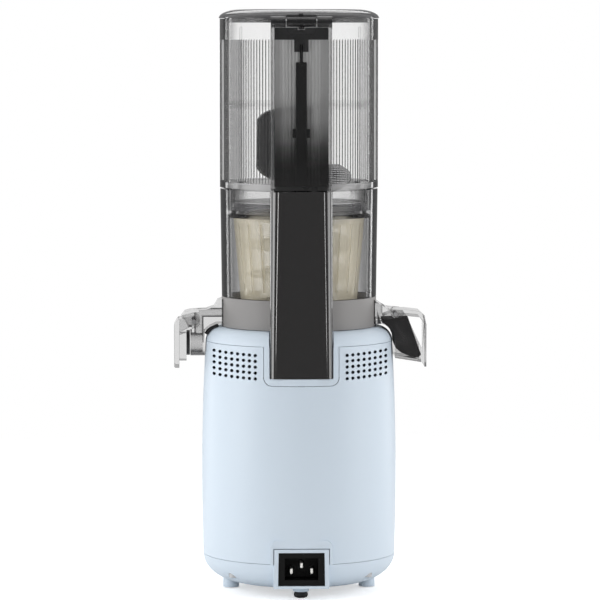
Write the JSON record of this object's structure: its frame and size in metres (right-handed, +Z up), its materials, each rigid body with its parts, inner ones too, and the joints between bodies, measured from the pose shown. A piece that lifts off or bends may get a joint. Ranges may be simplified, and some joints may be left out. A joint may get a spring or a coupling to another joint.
{
  "type": "cold press juicer",
  "caption": "Upright slow juicer: round motor body, clear chamber with strainer and auger, fluted feed hopper with hinged lid, capped juice and pulp outlets, rear interlock column.",
  "frame": {"origin": "on the table, under the body's vertical axis", "axes": "+Z up, +Y the back with the interlock column and power inlet, +X the juice spout side, -Y the front with the knob"},
  "size_m": [0.1758, 0.1379, 0.4055],
  "materials": {
    "body_plastic": "glossy pale blue",
    "black_plastic": "glossy near-black",
    "black_rubber": "matt black silicone",
    "inlet_plastic": "matt black",
    "pin_metal": "nickel plated",
    "steel": "plain steel",
    "copper_core": "laminated core with copper windings",
    "bronze": "sintered bronze",
    "gear_plastic": "natural nylon",
    "dark_plastic": "dark grey",
    "board_green": "printed circuit board",
    "smoked_clear": "smoked clear plastic",
    "lid_clear": "smoked clear plastic, darker",
    "frosted_grey": "frosted grey plastic",
    "amber": "amber clear plastic",
    "auger_cream": "cream plastic",
    "knob_grey": "light grey",
    "panel_grey": "grey translucent plastic"
  },
  "bodies": {
    "base": {"main_shell": "body_plastic", "top_cover": "body_plastic", "bottom_cover": "body_plastic", "rubber_feet": "black_rubber", "power_inlet": "inlet_plastic", "inlet_pins": "pin_metal", "motor_can": "steel", "stator_core": "copper_core", "motor_bushes": "bronze", "gearbox_base": "dark_plastic", "gearbox_cover": "dark_plastic", "counter_shaft": "steel", "output_bush": "bronze", "shaft_seal": "black_rubber", "control_board": "board_green", "speed_switch": "dark_plastic", "interlock_switch": "dark_plastic", "housing_screws": "steel"},
    "rotor": {"motor_rotor": "steel", "cooling_fan": "dark_plastic"},
    "counter": {"counter_gear": "gear_plastic"},
    "drive": {"output_gear": "gear_plastic", "drive_shaft": "steel"},
    "knob": {"control_knob": "knob_grey"},
    "chamber": {"juice_chamber": "smoked_clear", "chamber_base": "frosted_grey", "chamber_column": "black_plastic", "strainer": "amber", "chamber_seal": "black_rubber", "juice_spout": "smoked_clear", "shoulder_gasket": "black_rubber", "juice_cap_pins": "steel", "pulp_chute": "smoked_clear", "pulp_cap_pin": "steel"},
    "auger": {"auger": "auger_cream", "cutting_blade": "dark_plastic"},
    "juice_cap": {"juice_cap_lever": "smoked_clear", "juice_cap_gasket": "black_rubber"},
    "pulp_cap": {"pulp_cap": "smoked_clear", "pulp_plug": "black_rubber"},
    "hopper": {"hopper": "smoked_clear", "column_panel": "panel_grey", "rod_guide": "black_plastic", "lid_hinge_pin": "steel"},
    "lid": {"lid": "lid_clear"},
    "upper_rod": {"upper_rod": "black_plastic"},
    "lower_rod": {"lower_rod": "black_plastic"},
    "plunger": {"interlock_plunger": "dark_plastic", "plunger_spring": "steel"}
  },
  "joints": [
    {"name": "chamber_lift", "type": "slide", "parent": "base", "child": "chamber", "axis": [0, 0, 1], "range_m": [0, 0.06]},
    {"name": "hopper_twist", "type": "hinge", "parent": "chamber", "child": "hopper", "pos_m": [0, 0, 0.281], "axis": [0, 0, 1], "range_deg": [0, 20]},
    {"name": "lid_hinge", "type": "hinge", "parent": "hopper", "child": "lid", "pos_m": [0, 0.0606, 0.3969], "axis": [-1, 0, 0], "range_deg": [0, 95]},
    {"name": "upper_rod_slide", "type": "slide", "parent": "hopper", "child": "upper_rod", "axis": [0, 0, 1], "range_m": [0, 0.0015]},
    {"name": "lower_rod_slide", "type": "slide", "parent": "chamber", "child": "lower_rod", "axis": [0, 0, 1], "range_m": [0, 0.0015]},
    {"name": "plunger_slide", "type": "slide", "parent": "base", "child": "plunger", "axis": [0, 0, 1], "range_m": [0, 0.0015], "deforming": ["plunger_spring"]},
    {"name": "rotor_spin", "type": "hinge", "parent": "base", "child": "rotor", "pos_m": [0, 0, 0.08], "axis": [0, 0, 1], "continuous": true},
    {"name": "counter_spin", "type": "hinge", "parent": "base", "child": "counter", "pos_m": [0, -0.03125, 0.126], "axis": [0, 0, 1], "continuous": true},
    {"name": "drive_spin", "type": "hinge", "parent": "base", "child": "drive", "pos_m": [0, 0, 0.14], "axis": [0, 0, 1], "continuous": true},
    {"name": "auger_spin", "type": "hinge", "parent": "chamber", "child": "auger", "pos_m": [0, 0, 0.2], "axis": [0, 0, 1], "continuous": true},
    {"name": "juice_cap_hinge", "type": "hinge", "parent": "chamber", "child": "juice_cap", "pos_m": [0.0735, 0, 0.1885], "axis": [0, -1, 0], "range_deg": [0, 55]},
    {"name": "pulp_cap_hinge", "type": "hinge", "parent": "chamber", "child": "pulp_cap", "pos_m": [-0.067, 0, 0.1936], "axis": [0, 1, 0], "range_deg": [0, 60]},
    {"name": "knob_turn", "type": "hinge", "parent": "base", "child": "knob", "pos_m": [0, -0.068, 0.092], "axis": [0, -1, 0], "range_deg": [-40, 40]}
  ],
  "couplings": [
    {"joint": "counter_spin", "follows": "rotor_spin", "ratio": -0.25},
    {"joint": "drive_spin", "follows": "rotor_spin", "ratio": 0.0625},
    {"joint": "auger_spin", "follows": "rotor_spin", "ratio": 0.0625},
    {"joint": "upper_rod_slide", "follows": "lid_hinge", "m_per_rad": 0.0009},
    {"joint": "lower_rod_slide", "follows": "lid_hinge", "m_per_rad": 0.0009},
    {"joint": "plunger_slide", "follows": "lid_hinge", "m_per_rad": 0.0009}
  ]
}
